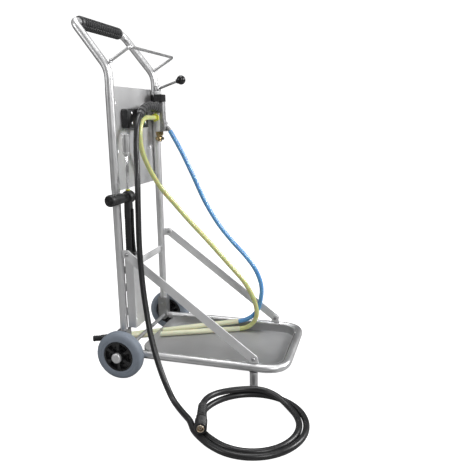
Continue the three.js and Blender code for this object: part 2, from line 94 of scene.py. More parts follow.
def surface(
    name,
    slot,
    colour,
    rough=0.5,
    metal=0.0,
    vary=0.06,
    vary_scale=25,
    rough_vary=0.08,
    grain=(900, 900, 900),
    bump=0.15,
    bump_mm=0.1,
    cells=None,
    **sockets,
):
    """A procedural material: blotches of tone, a grain that also drives roughness and bump, and
    an optional layer of cells such as a cast skin."""
    m = bpy.data.materials.new(name)
    m.use_nodes = True
    tree = m.node_tree
    nodes, link = tree.nodes, tree.links.new
    shader = nodes["Principled BSDF"]
    shader.inputs["Metallic"].default_value = metal
    for key, value in sockets.items():
        shader.inputs[key.replace("_", " ")].default_value = value

    where = nodes.new("ShaderNodeTexCoord")
    blotch = nodes.new("ShaderNodeTexNoise")
    blotch.inputs["Scale"].default_value = vary_scale
    blotch.inputs["Detail"].default_value = 5
    link(where.outputs["Object"], blotch.inputs["Vector"])

    stretch = nodes.new("ShaderNodeMapping")
    stretch.inputs["Scale"].default_value = grain
    link(where.outputs["Object"], stretch.inputs["Vector"])
    fine = nodes.new("ShaderNodeTexNoise")
    fine.inputs["Scale"].default_value = 1
    fine.inputs["Detail"].default_value = 3
    link(stretch.outputs["Vector"], fine.inputs["Vector"])

    both = nodes.new("ShaderNodeMath")
    both.operation = "MULTIPLY_ADD"
    both.inputs[1].default_value = 0.45
    link(fine.outputs["Fac"], both.inputs[0])
    half = nodes.new("ShaderNodeMath")
    half.operation = "MULTIPLY"
    half.inputs[1].default_value = 0.55
    link(blotch.outputs["Fac"], half.inputs[0])
    link(half.outputs["Value"], both.inputs[2])

    tone = nodes.new("ShaderNodeValToRGB")
    dark = [max(c * (1 - vary), 0) for c in colour]
    light = [min(c * (1 + vary), 1) for c in colour]
    tone.color_ramp.elements[0].position = 0.34
    tone.color_ramp.elements[0].color = (*dark, 1)
    tone.color_ramp.elements[1].position = 0.66
    tone.color_ramp.elements[1].color = (*light, 1)
    link(both.outputs["Value"], tone.inputs["Fac"])
    link(tone.outputs["Color"], shader.inputs["Base Color"])

    gloss = nodes.new("ShaderNodeMapRange")
    gloss.inputs["From Min"].default_value = 0.3
    gloss.inputs["From Max"].default_value = 0.7
    gloss.inputs["To Min"].default_value = max(rough - rough_vary, 0.02)
    gloss.inputs["To Max"].default_value = min(rough + rough_vary, 1)
    link(both.outputs["Value"], gloss.inputs["Value"])
    link(gloss.outputs["Result"], shader.inputs["Roughness"])

    height = fine.outputs["Fac"]
    if cells:
        lumps = nodes.new("ShaderNodeTexVoronoi")
        lumps.inputs["Scale"].default_value = cells
        link(where.outputs["Object"], lumps.inputs["Vector"])
        total = nodes.new("ShaderNodeMath")
        total.operation = "ADD"
        link(height, total.inputs[0])
        link(lumps.outputs["Distance"], total.inputs[1])
        height = total.outputs["Value"]
    relief = nodes.new("ShaderNodeBump")
    relief.inputs["Strength"].default_value = bump
    relief.inputs["Distance"].default_value = bump_mm * MM
    link(height, relief.inputs["Height"])
    link(relief.outputs["Normal"], shader.inputs["Normal"])
    SURFACES[name] = (m, slot)


def make_surfaces():
    surface("tube_steel", "steel", (0.76, 0.76, 0.765), 0.42, 1.0, 0.04, 30, 0.06,
            (700, 700, 60), 0.05)
    surface("rail_steel", "steel", (0.76, 0.76, 0.765), 0.40, 1.0, 0.05, 30, 0.06,
            (500, 500, 500), 0.06)
    surface("rod_steel", "steel", (0.72, 0.72, 0.725), 0.38, 1.0, 0.08, 60, 0.08,
            (900, 900, 900), 0.12)
    surface("weld_steel", "steel", (0.50, 0.50, 0.51), 0.40, 1.0, 0.16, 300, 0.12,
            (1500, 1500, 1500), 0.35, 0.2)
    surface("panel_sheet", "sheet", (0.66, 0.66, 0.665), 0.50, 0.85, 0.05, 9, 0.06,
            (1200, 1200, 14), 0.10)
    surface("pan_sheet", "sheet", (0.40, 0.40, 0.405), 0.52, 0.8, 0.07, 12, 0.07,
            (1200, 20, 1200), 0.12)
    surface("pocket_steel", "steel", (0.74, 0.74, 0.745), 0.44, 0.95, 0.07, 20, 0.08,
            (1100, 1100, 25), 0.12)
    surface("strap_steel", "strap", (0.70, 0.70, 0.705), 0.58, 0.45, 0.05, 18, 0.06,
            (800, 800, 800), 0.14)
    surface("bracket_steel", "strap", (0.34, 0.34, 0.345), 0.46, 0.85, 0.14, 90, 0.10,
            (900, 900, 900), 0.25, 0.15, 260)
    surface("bolt_steel", "bright", (0.46, 0.46, 0.465), 0.32, 1.0, 0.08, 200, 0.08,
            (1500, 1500, 1500), 0.12)
    surface("polished", "bright", (0.93, 0.93, 0.935), 0.26, 1.0, 0.04, 50, 0.05,
            (1500, 1500, 90), 0.05)
    surface("cast_metal", "bright", (0.36, 0.36, 0.365), 0.58, 0.6, 0.30, 130, 0.12,
            (700, 700, 700), 0.35, 0.25, 420)
    surface("nozzle_steel", "steel", (0.78, 0.78, 0.78), 0.34, 1.0, 0.06, 60, 0.06,
            (1500, 1500, 60), 0.08)
    surface("black_plastic", "plastic", (0.013, 0.013, 0.014), 0.40, 0.0, 0.22, 80, 0.08,
            (1600, 1600, 1600), 0.20, 0.08)
    surface("black_grip", "plastic", (0.014, 0.014, 0.015), 0.44, 0.0, 0.25, 90, 0.08,
            (1800, 1800, 1800), 0.30, 0.1)
    surface("sleeve_rubber", "plastic", (0.050, 0.050, 0.052), 0.42, 0.0, 0.22, 90, 0.08,
            (1800, 1800, 1800), 0.15, 0.08)
    surface("turned_metal", "bright", (0.90, 0.90, 0.905), 0.30, 0.35, 0.05, 60, 0.06,
            (1500, 1500, 90), 0.06)
    surface("socket_metal", "brass", (0.60, 0.52, 0.42), 0.30, 1.0, 0.10, 150, 0.08,
            (1500, 1500, 1500), 0.10)
    surface("gloss_black", "plastic", (0.010, 0.010, 0.011), 0.26, 0.0, 0.20, 60, 0.06,
            (1600, 1600, 1600), 0.08, 0.05)
    surface("hose_rubber", "hose_black", (0.012, 0.012, 0.013), 0.36, 0.0, 0.20, 60, 0.07,
            (1500, 1500, 1500), 0.16, 0.08)
    surface("tyre_rubber", "tyre", (0.21, 0.24, 0.285), 0.62, 0.0, 0.10, 35, 0.08,
            (1300, 1300, 1300), 0.25, 0.12)
    surface("lime_hose_wall", "lime", (0.60, 0.62, 0.26), 0.24, 0.0, 0.10, 40, 0.06,
            (500, 500, 500), 0.06, 0.1, Subsurface_Weight=0.35, Coat_Weight=0.3)
    surface("lime_fitting", "lime", (0.60, 0.58, 0.07), 0.20, 0.0, 0.14, 120, 0.06,
            (900, 900, 900), 0.08, 0.1, Subsurface_Weight=0.25, Coat_Weight=0.4)
    surface("sky_hose_wall", "sky", (0.12, 0.34, 0.66), 0.24, 0.0, 0.12, 40, 0.06,
            (500, 500, 500), 0.06, 0.1, Subsurface_Weight=0.25, Coat_Weight=0.3)
    surface("ivory_pipe", "ivory", (0.72, 0.73, 0.53), 0.40, 0.0, 0.05, 30, 0.08,
            (900, 900, 900), 0.10, 0.08, Subsurface_Weight=0.15)
    surface("brass_metal", "brass", (0.50, 0.38, 0.21), 0.26, 1.0, 0.12, 120, 0.08,
            (1500, 1500, 1500), 0.10)
    for name, reach in (("lime_hose_wall", 4), ("lime_fitting", 3), ("sky_hose_wall", 3),
                        ("ivory_pipe", 3)):
        shader = SURFACES[name][0].node_tree.nodes["Principled BSDF"]
        shader.inputs["Subsurface Scale"].default_value = reach * MM


make_surfaces()

# ---------------------------------------------------------------- shapes
# A shape is a list of points in table millimetres and a list of faces.


def straight_and_bent(points, radii, steps=14):
    """Straight runs between the points, with a bend of the given size at each inner point."""
    points = [Vector(p) for p in points]
    path = [points[0]]
    for k in range(1, len(points) - 1):
        into = (points[k] - points[k - 1]).normalized()
        out = (points[k + 1] - points[k]).normalized()
        setback = radii[k - 1] * math.tan(into.angle(out) / 2)
        a, b = points[k] - into * setback, points[k] + out * setback
        for i in range(steps + 1):
            t = i / steps
            path.append(a * (1 - t) ** 2 + points[k] * (2 * t * (1 - t)) + b * t * t)
    path.append(points[-1])
    return path


def smooth_route(points, steps=8):
    """A centripetal Catmull-Rom curve through the points, as the CAD hoses follow."""
    p = [Vector(q) for q in points]
    p = [p[0] * 2 - p[1], *p, p[-1] * 2 - p[-2]]
    path = []
    for p0, p1, p2, p3 in zip(p, p[1:], p[2:], p[3:]):
        d0, d1, d2 = (max((b - a).length, 1e-6) ** 0.5 for a, b in ((p0, p1), (p1, p2), (p2, p3)))
        m1 = ((p1 - p0) / d0 - (p2 - p0) / (d0 + d1) + (p2 - p1) / d1) * d1
        m2 = ((p2 - p1) / d1 - (p3 - p1) / (d1 + d2) + (p3 - p2) / d2) * d1
        for i in range(steps):
            t = i / steps
            path.append(
                p1 + m1 * t + (p2 * 3 - p1 * 3 - m1 * 2 - m2) * t * t
                + (p1 * 2 - p2 * 2 + m1 + m2) * t ** 3
            )
    path.append(Vector(points[-1]))
    return path


def evenly(path, spacing):
    """The same line with points a fixed distance apart."""
    reach = [0.0]
    for a, b in zip(path, path[1:]):
        reach.append(reach[-1] + (b - a).length)
    count = max(2, round(reach[-1] / spacing))
    out, k = [], 0
    for i in range(count + 1):
        want = reach[-1] * i / count
        while k < len(path) - 2 and reach[k + 1] < want:
            k += 1
        span = max(reach[k + 1] - reach[k], 1e-9)
        out.append(path[k].lerp(path[k + 1], (want - reach[k]) / span))
    return out


def path_length(path):
    return sum((b - a).length for a, b in zip(path, path[1:]))


def skin(rings, loop=False, cap_first=True, cap_last=True):
    """Faces between rings of equal size."""
    points = [v for ring in rings for v in ring]
    n, faces = len(rings[0]), []
    pairs = len(rings) if loop else len(rings) - 1
    for r in range(pairs):
        a, b = r * n, ((r + 1) % len(rings)) * n
        for i in range(n):
            j = (i + 1) % n
            faces.append((a + i, a + j, b + j, b + i))
    if not loop and cap_first:
        faces.append(tuple(range(n))[::-1])
    if not loop and cap_last:
        last = (len(rings) - 1) * n
        faces.append(tuple(range(last, last + n)))
    return points, faces


def sweep(path, radius, sides=20, section=None):
    """A bar along a path. radius is a number or a function of distance and angle; section is an
    outline of (x, y) used instead of a circle."""
    path = [Vector(p) for p in path]
    ahead = [(b - a).normalized() for a, b in zip(path, path[1:])]
    tangents = [ahead[0]] + [(a + b).normalized() for a, b in zip(ahead, ahead[1:])] + [ahead[-1]]
    side = tangents[0].orthogonal().normalized()
    rings, done = [], 0.0
    for k, (p, t) in enumerate(zip(path, tangents)):
        if k:
            side = tangents[k - 1].rotation_difference(t) @ side
            done += (p - path[k - 1]).length
        side = (side - t * side.dot(t)).normalized()
        other = t.cross(side)
        if section:
            ring = [p + side * x + other * y for x, y in section]
        else:
            ring = []
            for i in range(sides):
                angle = 2 * math.pi * i / sides
                r = radius(done, angle) if callable(radius) else radius
                ring.append(p + (side * math.cos(angle) + other * math.sin(angle)) * r)
        rings.append(ring)
    return skin(rings)


def turned(start, towards, profile, segments=48, wave=None):
    """A solid of revolution about the line from start to towards. profile holds (distance,
    radius) pairs; wave scales the radius by angle and distance."""
    start, towards = Vector(start), Vector(towards)
    axis = (towards - start).normalized()
    side = axis.orthogonal().normalized()
    if abs(axis.x) > 0.9:
        side = (Vector((0, 0, 1)) - axis * axis.z).normalized()
    other = axis.cross(side)
    rings = []
    for along, radius in profile:
        ring = []
        for i in range(segments):
            angle = 2 * math.pi * i / segments
            r = radius * (wave(angle, along) if wave else 1)
            out = side * math.cos(angle) + other * math.sin(angle)
            ring.append(start + axis * along + out * r)
        rings.append(ring)
    if profile[0] == profile[-1]:
        return skin(rings[:-1], loop=True)
    return skin(rings)


def from_bmesh(bm):
    bm.verts.index_update()
    shape = [v.co.copy() for v in bm.verts], [tuple(v.index for v in f.verts) for f in bm.faces]
    bm.free()
    return shape


def box(low, high, bevel=1.0):
    bm = bmesh.new()
    bmesh.ops.create_cube(bm, size=1)
    low, high = Vector(low), Vector(high)
    for v in bm.verts:
        v.co = Vector((c + 0.5) * (b - a) + a for c, a, b in zip(v.co, low, high))
    if bevel:
        bmesh.ops.bevel(bm, geom=bm.edges[:], offset=bevel, segments=2, profile=0.5,
                        affect="EDGES")
    return from_bmesh(bm)


def slab(outline, low, high, bevel=0.8, axes="xyz"):
    """An outline made thick. axes names where its two coordinates and its thickness go."""
    order = ["xyz".index(c) for c in axes]
    bm = bmesh.new()
    rings = []
    for depth in (low, high):
        ring = []
        for a, b in outline:
            co = [0.0, 0.0, 0.0]
            co[order[0]], co[order[1]], co[order[2]] = a, b, depth
            ring.append(bm.verts.new(co))
        rings.append(ring)
    n = len(outline)
    bm.faces.new(rings[0][::-1])
    bm.faces.new(rings[1])
    for i in range(n):
        j = (i + 1) % n
        bm.faces.new((rings[0][i], rings[0][j], rings[1][j], rings[1][i]))
    bmesh.ops.recalc_face_normals(bm, faces=bm.faces)
    if bevel:
        rims = [e for e in bm.edges if e.calc_face_angle(0) > math.radians(50)]
        bmesh.ops.bevel(bm, geom=rims, offset=bevel, segments=2, profile=0.5, affect="EDGES")
    return from_bmesh(bm)


def rounded_outline(x0, x1, y0, y1, r, steps=8):
    out = []
    for cx, cy, first in ((x1 - r, y0 + r, -90), (x1 - r, y1 - r, 0), (x0 + r, y1 - r, 90),
                          (x0 + r, y0 + r, 180)):
        for i in range(steps + 1):
            a = math.radians(first + 90 * i / steps)
            out.append((cx + r * math.cos(a), cy + r * math.sin(a)))
    return out


def moved(shape, matrix):
    return [matrix @ v for v in shape[0]], shape[1]


def bead(centre, normal, ring_r, bead_r, seed):
    """A weld: an uneven ring of small overlapping drops."""
    rng = random.Random(seed)
    normal = Vector(normal).normalized()
    side = normal.orthogonal().normalized()
    other = normal.cross(side)
    around, round_bead = 48, 8
    drops = rng.randint(9, 12)
    rings = []
    for i in range(around):
        a = 2 * math.pi * i / around
        out = side * math.cos(a) + other * math.sin(a)
        r = bead_r * (0.86 + 0.16 * abs(math.sin(a * drops / 2)) + rng.uniform(-0.04, 0.04))
        middle = Vector(centre) + out * ring_r
        rings.append([
            middle + (out * math.cos(b) + normal * math.sin(b)) * r
            for b in (2 * math.pi * k / round_bead for k in range(round_bead))
        ])
    return skin(rings, loop=True)


def hexagon(start, towards, across, height, chamfer=1.0):
    corner = across / math.sqrt(3)
    flat = across / 2
    return turned(start, towards, [
        (0, 0.01), (0, flat * 0.96), (chamfer * 0.5, corner), (height - chamfer * 0.5, corner),
        (height, flat * 0.96), (height, 0.01),
    ], 6)


def piece(name, shapes, look, body="cart", stands_for=(), smooth=38):
    """Joins shapes into one object that rides on a CAD body."""
    points, faces = [], []
    for shape_points, shape_faces in shapes:
        base = len(points)
        points += [at(p) for p in shape_points]
        faces += [tuple(i + base for i in f) for f in shape_faces]
    mesh = bpy.data.meshes.new(name)
    mesh.from_pydata(points, [], faces)
    bm = bmesh.new()
    bm.from_mesh(mesh)
    bmesh.ops.recalc_face_normals(bm, faces=bm.faces)
    bm.to_mesh(mesh)
    bm.free()
    mesh.shade_smooth()
    mesh.set_sharp_from_angle(angle=math.radians(smooth))
    material, slot = SURFACES[look]
    mesh.materials.append(material)
    obj = bpy.data.objects.new(name, mesh)
    bpy.context.scene.collection.objects.link(obj)
    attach(obj, body)
    if stands_for:
        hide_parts(*stands_for)
    return obj


def keep(node, look, bevel=0.0):
    """A CAD node that stays in view, with softened edges and a material."""
    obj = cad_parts[node]
    material, slot = SURFACES[look]
    obj.data.materials.clear()
    obj.data.materials.append(material)
    if bevel:
        rounding = obj.modifiers.new("edges", "BEVEL")
        rounding.width = bevel * MM
        rounding.segments = 2
        rounding.limit_method = "ANGLE"
        rounding.angle_limit = math.radians(40)


# ---------------------------------------------------------------- hoses

PRESSURE_R = 9.0
LIME_R = 8.5
SKY_R = 8.0
COIL = Vector((-375, -485, 0))
FLOOR_Z = 9.0

SLEEVE_ROUTE = [
    (133, -20, 873), (124, -20, 873), (98, -20.5, 877), (62, -22, 880), (22, -25, 876),
    (-10, -28, 867.5), (-32, -30, 855.5), (-44, -31.4, 847),
]
DROP_ROUTE = [
    (-45, -31.5, 846.3), (-56.5, -32.9, 838), (-80, -37, 814), (-96, -41, 783), (-112, -46, 742),
    (-131, -55, 708), (-148, -63, 672), (-160, -68, 630), (-170, -71, 580), (-179, -74, 530),
    (-188, -77, 480), (-198, -82, 425), (-209, -89.5, 366), (-222, -100, 306), (-237, -114, 248),
    (-254, -130, 194), (-273, -152, 138), (-292, -177, 88), (-312, -205, 46), (-333, -232, 19.5),
    (-357, -260, 9.9), (-384, -287, 9.6), (-411, -314, 9.6),
]
TAIL_ROUTE = [
    (-233, -433, 27.3), (-240, -416.5, 27.5), (-248.5, -400, 28), (-258.5, -385, 28.8),
    (-270.5, -371, 30), (-284, -358.5, 31.5), (-299.5, -348.5, 33), (-316, -341, 34.5),
    (-334, -337, 35.5), (-352.5, -336, 36), (-370.4, -339.2, 36),
]
LIME_ROUTE = [
    (103.2, -14, 841), (80, -14, 841), (41, -14.5, 841), (8, -16, 832.2), (-10, -17.5, 817.5),
    (-21, -18.8, 797.5), (-25, -20, 775), (-23, -20.6, 751), (-15, -21, 729), (1, -22, 703),
    (31, -26, 661), (58, -49, 601), (82, -90, 539), (98, -143, 471), (108, -199, 408),
    (117, -278, 318), (121, -334, 254), (127, -360, 208), (133, -373, 172), (139.5, -378, 140),
    (143.5, -376.5, 115), (145.2, -368, 93), (145.2, -351, 73.3), (143, -333.6, 63.6),
    (139.6, -319, 60.1), (137.2, -312.7, 59.7),
]
SKY_ROUTE = [
    (146.4, -56.9, 793.8), (147, -70, 771), (148, -99, 718), (149, -140, 632), (150, -182, 540),
    (151, -233, 456), (152, -282, 396), (152, -336, 339), (152, -372, 290), (152, -391, 242),
    (154, -394, 208), (156, -390.5, 180), (157.5, -386, 158), (158.7, -375.5, 130),
    (158.8, -355.5, 105.3), (156.4, -328.5, 89.3), (152, -311.4, 84.55), (149.3, -304.8, 84.05),
]
# The 1.7 turns on the floor: (angle seen from above, radius, height). The hose comes in from the
# rear, runs round outside, slips inside, and climbs over its own outer turn to the coupling.
COIL_STEPS = (
    [(118, 163, 9.3), (132, 154.5, FLOOR_Z)]
    + [(angle, 151, FLOOR_Z) for angle in range(148, 449, 20)]
    + [(461, 149.5, FLOOR_Z), (473, 145.5, FLOOR_Z), (486, 139, FLOOR_Z), (500, 133, FLOOR_Z)]
    + [(angle, 131, FLOOR_Z) for angle in range(520, 661, 20)]
    + [(678, 132, 11.5), (692, 135.5, 18.5), (704, 140.5, 23.8), (717, 147, 26.6),
       (729, 150.5, 27.2)]
)
COUPLING_FROM = Vector((-371.3, -339.5, 36))
COUPLING_TO = Vector((-480.9, -370.9, 36))


def coil_point(angle, radius, height):
    a = math.radians(angle)
    return COIL + Vector((radius * math.cos(a), radius * math.sin(a), height))


def add_hose(name, route, radius, look, stands_for, spacing=4.0, sides=24):
    path = evenly(smooth_route(route), spacing)
    return piece(name, [sweep(path, radius, sides)], look, "cart", stands_for), path


def declare(obj, path, radius, far_end, length, **facts):
    """Stops if a hose's route isn't the given length."""
    if abs(path_length(path) * MM - length) > 0.01:
        raise ValueError(f"{obj.name} follows {path_length(path) * MM:.3f} m")


def add_hoses():
    coil = [coil_point(*step) for step in COIL_STEPS]
    pressure, pressure_path = add_hose(
        "pressure_hose_line", DROP_ROUTE + coil + TAIL_ROUTE, PRESSURE_R, "hose_rubber",
        ("pressure_hose", "pressure_hose_coil", "pressure_hose_tail"))
    lime, lime_path = add_hose("lime_hose_line", LIME_ROUTE, LIME_R, "lime_hose_wall",
                               ("lime_hose",))
    sky, sky_path = add_hose("sky_hose_line", SKY_ROUTE, SKY_R, "sky_hose_wall", ("sky_hose",))
    return (pressure, pressure_path), (lime, lime_path), (sky, sky_path)


def add_coupling():
    """The quick coupling on the end of the pressure hose."""
    here, there = COUPLING_FROM, COUPLING_TO

    def knobbed(angle, along):
        row = math.cos(angle * 12 + (math.pi if int(along / 5) % 2 else 0))
        return 1 + 0.035 * max(row, 0)

    relief = [(-6, 0.01), (-6, 10.6), (-3, 12.2)]
    for k in range(50):
        along = k * 54 / 49
        relief.append((along, 12.2 + 1.0 * along / 54 + 0.7 * math.sin(along * 1.257) ** 2))
    relief += [(55, 14.6), (57, 15), (62.4, 15), (63.8, 14.6), (64.5, 13.9), (64.5, 0.01)]
    sleeve = piece("coupling_grip", [turned(here, there, relief, 72, knobbed)], "black_grip",
                   "cart", ("coupling_sleeve",))

    core = [(54.3, 0.01), (54.3, 13.6), (55, 14.2), (63, 14.2), (64, 13.4), (64, 11), (112.5, 11),
            (114, 10), (114, 8.6), (112.5, 7.6), (100, 7.6), (100, 0.01)]
    nipple = [(99, 0.01), (99, 4.6), (110.5, 4.6), (111.4, 4.0), (111.4, 2.6), (110.6, 2.1),
              (103, 2.1), (103, 0.01)]
    metal = piece("coupling_socket", [turned(here, there, core, 56),
                                      turned(here, there, nipple, 40)],
                  "socket_metal", "cart", ("coupling_core",))

    collar_profile = [(71, 11.4), (71, 15.6), (72.2, 16.6)]
    for k in range(34):
        along = 73.5 + k
        ridge = 0.9 * (math.sin(along * 0.83) ** 2)
        collar_profile.append((along, 16.3 + ridge))
    collar_profile += [(108.5, 17.3), (110.5, 17.3), (112, 16.2), (112, 12.2), (110.5, 11.4),
                       (71, 11.4)]

    def knurled(angle, along):
        return 1 + (0.018 * math.cos(angle * 28) if 74 < along < 107 else 0)

    collar = piece("coupling_ring", [turned(here, there, collar_profile, 112, knurled)],
                   "black_plastic", "collar", ("coupling_collar",))
    return [sleeve, metal, collar]


HOSES = add_hoses()
COUPLING = add_coupling()
declare(*HOSES[0], PRESSURE_R, "fitting", 2.84, stiffness="stiff", lay="coiled",
        with_pieces=COUPLING)
declare(*HOSES[1], LIME_R, "object", 1.065, stiffness="medium", lay="hanging")
declare(*HOSES[2], SKY_R, "object", 0.854, stiffness="medium", lay="hanging")

# ---------------------------------------------------------------- frame

TUBE_R = 13.0
SIDES = (("left", -1), ("right", 1))


def add_frame_tube():
    """Both uprights and the handle are one bent tube."""
    path = straight_and_bent(
        [(-167, 5, 94), (-167, 5, 987), (-159, 118, 1131), (159, 118, 1131), (167, 5, 987),
         (167, 5, 94)], [80, 30, 30, 80], 18)
    piece("frame_tube", [sweep(path, TUBE_R, 40)], "tube_steel", "cart",
          ("left_upright", "right_upright", "handle_bow"), 50)


def add_grip():
    """The rubber sleeve: deep ribs with a plain band at each end."""
    profile = [(-127, 13.1), (-127, 16.6), (-125.6, 18.6), (-123, 19.8), (-119, 20), (-117.6, 19)]
    pitch, ribs = 11.7, 20
    for k in range(ribs):
        x = -117 + k * pitch
        profile += [(x + 0.6, 15.4), (x + 1.4, 14.6), (x + 4.4, 14.6), (x + 5.2, 16.4),
                    (x + 5.8, 19.2), (x + 6.6, 20), (x + 9.4, 20), (x + 10.4, 19.3),
                    (x + 11.2, 17.2)]
    profile += [(117.6, 19), (119, 20), (123, 19.8), (125.6, 18.6), (127, 16.6), (127, 13.1),
                (-127, 13.1)]

    def waist(angle, along):
        # Six shallow lengthwise channels break the rings into rows of pads.
        if abs(along) > 118:
            return 1
        return 1 - 0.16 * max(0, math.cos(angle * 6)) ** 6

    piece("grip_sleeve", [turned((0, 118, 1131), (1, 118, 1131), profile, 72, waist)],
          "sleeve_rubber", "cart", ("handle_grip",), 30)


def add_hanger():
    path = straight_and_bent([(-167, 1.6, 1006.1), (-167, -70, 1047), (167, -70, 1047),
                              (167, 1.6, 1006.1)], [14, 14], 12)
    piece("hanger_rod", [sweep(path, 4.5, 24)], "rod_steel", "cart", ("hose_hanger",), 50)
    for name, side in SIDES:
        x = side * 167
        along = Vector((0, -0.868, 0.496))
        root = Vector((x, 1.6, 1006.1)) + along * 6.5
        piece(f"hanger_{name}_weld", [bead(root, along, 4.8, 2.3, 11 + side)], "weld_steel")


def add_cross_tube():
    piece("cross_strap", [box((-153.4, 2, 337), (153.4, 7, 361), 0.9)], "strap_steel", "cart",
          ("crossbar",))
    for name, side in SIDES:
        spots = [bead((side * 153.6, 4.5, z), (side, 0, 0), 3.0, 2.0, z) for z in (341, 349, 357)]
        piece(f"cross_{name}_weld", spots, "weld_steel")


def add_back_panel():
    """The sheet behind the injector, with its four holes and the welds along its sides."""
    keep("back_panel", "panel_sheet", 0.5)
    for name, side in SIDES:
        spots = [
            moved(bead((0, 0, 0), (side, 0, 0), 3.4, 1.5, int(z)),
                  Matrix.Translation((side * 161, 17.8, z)) @ Matrix.Diagonal((0.5, 0.45, 1.8, 1)))
            for z in (640, 735, 815, 910)
        ]
        piece(f"panel_{name}_weld", spots, "weld_steel")


def screw_head(centre, normal, r, depth, cross=True):
    """A pan head with a cross recess cut as four petals round a low centre."""
    def recess(angle, along):
        return 1 - (0.10 * max(0, math.cos(angle * 4)) ** 6 if cross and along > depth * 0.8 else 0)

    profile = [(0, 0.01), (0, r * 0.94), (depth * 0.25, r), (depth * 0.62, r * 0.93),
               (depth * 0.9, r * 0.66), (depth, r * 0.40), (depth * 0.55, r * 0.30),
               (depth * 0.5, 0.01)]
    return turned(centre, Vector(centre) + Vector(normal), profile, 40, recess)


def add_hose_bracket():
    """The moulded block on the front of the panel, with a lip along its foot."""
    front = rounded_outline(-77, 77, 808, 871, 8)
    block = slab(front, -5, 17.9, 2.2, "xzy")
    rim = slab(rounded_outline(-73.5, 73.5, 812, 867, 6), -6.4, -4.5, 0.8, "xzy")
    lip = box((-71, -8.2, 809.2), (71, -5.2, 813.6), 1.3)
    piece("bracket_block", [block, rim, lip], "black_plastic", "cart", ("hose_bracket",))
    heads = [screw_head((x, -6.2, z), (0, -1, 0), 5.4, 3.2) for x in (-50, 50) for z in (824, 856)]
    piece("bracket_screws", heads, "bolt_steel")


def add_pocket():
    """The open-topped box that the lance stands in."""
    low, high, wall = Vector((-168, -42, 160)), Vector((-95, -10, 404)), 1.5
    outer = rounded_outline(low.x, high.x, low.y, high.y, 6)
    inner = rounded_outline(low.x + wall, high.x - wall, low.y + wall, high.y - wall, 4.6)
    rings = []
    for outline, z in ((outer, low.z), (outer, high.z - 0.6)):
        rings.append([Vector((x, y, z)) for x, y in outline])
    lip = rounded_outline(low.x + 0.5, high.x - 0.5, low.y + 0.5, high.y - 0.5, 5.6)
    rings.append([Vector((x, y, high.z)) for x, y in lip])
    for z in (high.z, 381.5, 379.6):
        rings.append([Vector((x, y, z)) for x, y in inner])
    shell = skin(rings)
    tabs = []
    for z in (200, 284):
        tabs.append(box((-168, -9.8, z), (-150, -6.4, z + 26), 0.8))
    piece("lance_holder", [shell, *tabs], "pocket_steel", "cart", ("lance_pocket",))
    seams = [bead((-160, -8.4, z), (0, 1, 0), 5, 1.5, z) for z in (213, 297)]
    piece("holder_welds", seams, "weld_steel")


def add_braces():
    for name, side in SIDES:
        keep(f"{name}_brace", "strap_steel", 0.9)
        for place in ("upper", "lower"):
            low, high = (v * 1000 for v in map(Vector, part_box(f"{name}_{place}_bolt")))
            y, z = (low.y + high.y) / 2 - AXLE_Y, (low.z + high.z) / 2
            out = Vector((side, 0, 0))
            seat = Vector((side * 179.6, y, z))
            washer = turned(seat, seat + out,
                            [(0, 0.01), (0, 6.4), (1.0, 6.4), (1.2, 6.0), (1.2, 0.01)], 40)
            start = Vector((side * 180.6, y, z))
            head = turned(start, start + out,
                          [(0, 0.01), (0, 6.0), (2.1, 5.8), (3.4, 4.9), (4.0, 3.4), (4.0, 2.0),
                           (2.4, 1.9), (2.4, 0.01)], 40)
            inner = Vector((side * 168.7, y, z))
            nut = hexagon(inner, inner - out, 10.6, 4.9)
            shank = turned(inner - out * 4, start, [(0, 0.01), (0, 2.8), (15, 2.8),
                                                            (15, 0.01)], 20)
            piece(f"{name}_{place}_fastener", [washer, head, nut, shank], "bolt_steel", "cart",
                  (f"{name}_{place}_bolt",))
            keep(f"{name}_{place}_lug", "strap_steel", 0.6)


def add_tray():
    low, high = (v * 1000 for v in map(Vector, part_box("tray_frame")))
    x, front = high.x - TUBE_R, low.y - AXLE_Y + TUBE_R
    path = straight_and_bent([(-x, -12.4, 73), (-x, front, 73), (x, front, 73), (x, -12.4, 73)],
                             [70, 70], 22)
    piece("tray_tube", [sweep(path, TUBE_R, 40)], "rail_steel", "cart", ("tray_frame",), 50)

    # The pan is one pressed sheet: floor, filleted sides and a rim that meets the tube.
    def ring(inset, z, corner):
        return [Vector((px, py, z)) for px, py in
                rounded_outline(-163.4 + inset, 163.4 - inset, -526.4 + inset, -42 - inset,
                                corner, 12)]

    rings = [ring(0, 80, 56), ring(0, 54, 56), ring(1.4, 50, 54), ring(5, 48, 51),
             ring(7.5, 50, 49), ring(3.6, 52, 52), ring(2, 56, 54), ring(2, 80, 54)]
    under = skin(rings[:4][::-1], cap_first=True, cap_last=False)
    upper = skin(rings[4:], cap_first=True, cap_last=False)
    rim = skin([rings[7], rings[0]], cap_first=False, cap_last=False)
    piece("tray_sheet", [under, upper, rim], "pan_sheet", "cart", ("tray_pan",))
    stitches = []
    for side in (-1, 1):
        for k in range(8):
            y = -462 + 54 * k
            stitches.append(moved(
                bead((0, 0, 0), (0, 1, 0), 1.2, 1.2, k * 7 + side),
                Matrix.Translation((side * 163.9, y, 80.6)) @ Matrix.Diagonal((0.9, 6, 0.9, 1))))
    piece("tray_stitches", stitches, "weld_steel")


def add_legs():
    for name, side in SIDES:
        profile = [(0, 0.01), (0, 11.4), (1.2, 12.5), (56, 12.5), (59, 12.5), (59, 0.01)]
        leg = turned((side * 177, -443, 0), (side * 177, -443, 1), profile, 44)
        piece(f"{name}_foot", [leg], "rail_steel", "cart", (f"{name}_leg",))
        piece(f"{name}_foot_weld", [bead((side * 177, -443, 59.0), (0, 0, 1), 12.1, 1.9,
                                         50 + side)], "weld_steel")


# ---------------------------------------------------------------- wheels

